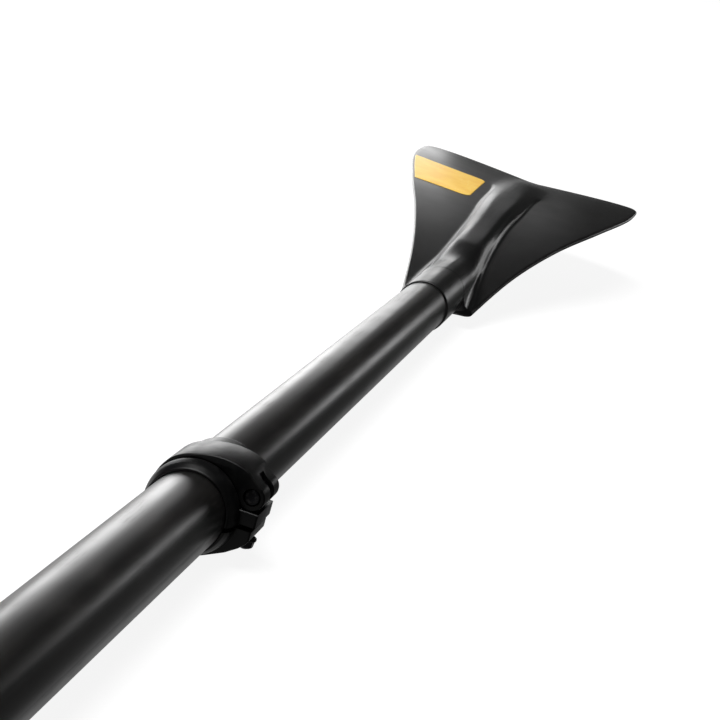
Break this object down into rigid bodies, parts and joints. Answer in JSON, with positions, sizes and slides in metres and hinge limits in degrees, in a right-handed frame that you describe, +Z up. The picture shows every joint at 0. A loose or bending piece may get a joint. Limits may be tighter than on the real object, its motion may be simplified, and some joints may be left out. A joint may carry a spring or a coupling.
{
  "type": "stand-up paddleboard paddle",
  "caption": "Adjustable stand-up paddle: flared ribbed blade, round telescoping shaft in sections, lever clamps and a T-shaped palm grip.",
  "frame": {"origin": "middle of the bounding box in plan, on the surface the paddle lies on", "axes": "+X along the shaft towards the blade, +Y to the label's side of the blade, +Z up from the ribbed face of the blade"},
  "size_m": [1.7026, 0.184, 0.0594],
  "materials": {
    "blade": "satin black glass-filled nylon, fine mould texture",
    "label": "bare printed film, yellow-orange",
    "tube": "satin black anodised tube with fine lengthwise grain",
    "ferrule": "bare drawn tube",
    "clamp": "gloss black moulded nylon",
    "hardware": "plain stainless steel",
    "grip": "soft-touch matt black",
    "foam": "closed-cell foam",
    "seal": "black rubber"
  },
  "bodies": {
    "mid_section": {"mid_shaft": "tube", "lower_clamp_collar": "clamp", "lower_clamp_barrel": "hardware", "lower_clamp_bolt": "hardware", "lower_clamp_washer": "hardware", "lower_clamp_nut": "hardware", "upper_clamp_collar": "clamp", "upper_clamp_barrel": "hardware", "upper_clamp_bolt": "hardware", "upper_clamp_washer": "hardware", "upper_clamp_nut": "hardware"},
    "lower_section": {"blade": "blade", "blade_label": "label", "lower_shaft": "tube", "lower_float_plug": "foam", "joint_ferrule": "ferrule", "ferrule_plug": "foam", "joint_seal_ring": "seal"},
    "lower_lever": {"lower_clamp_lever": "clamp"},
    "upper_lever": {"upper_clamp_lever": "clamp"},
    "sliding_ring": {"slider_ring": "seal"},
    "handle": {"handle_shaft": "tube", "handle_slider": "grip", "handle_float_plug": "foam", "t_grip": "grip", "grip_screw": "hardware"}
  },
  "joints": [
    {"name": "lower_lever_pivot", "type": "hinge", "parent": "mid_section", "child": "lower_lever", "pos_m": [-0.0312, -0.0202, 0.0283], "axis": [1, 0, 0], "range_deg": [0, 150]},
    {"name": "upper_lever_pivot", "type": "hinge", "parent": "mid_section", "child": "upper_lever", "pos_m": [-0.7208, -0.0202, 0.0283], "axis": [1, 0, 0], "range_deg": [0, 150]},
    {"name": "lower_joint_slide", "type": "slide", "parent": "mid_section", "child": "lower_section", "axis": [1, 0, 0], "range_m": [0, 0.07]},
    {"name": "handle_slide", "type": "slide", "parent": "mid_section", "child": "sliding_ring", "axis": [-1, 0, 0], "range_m": [-0.034, 0.4]},
    {"name": "handle_turn", "type": "hinge", "parent": "sliding_ring", "child": "handle", "pos_m": [-0.8, 0, 0.0185], "axis": [1, 0, 0], "continuous": true}
  ]
}
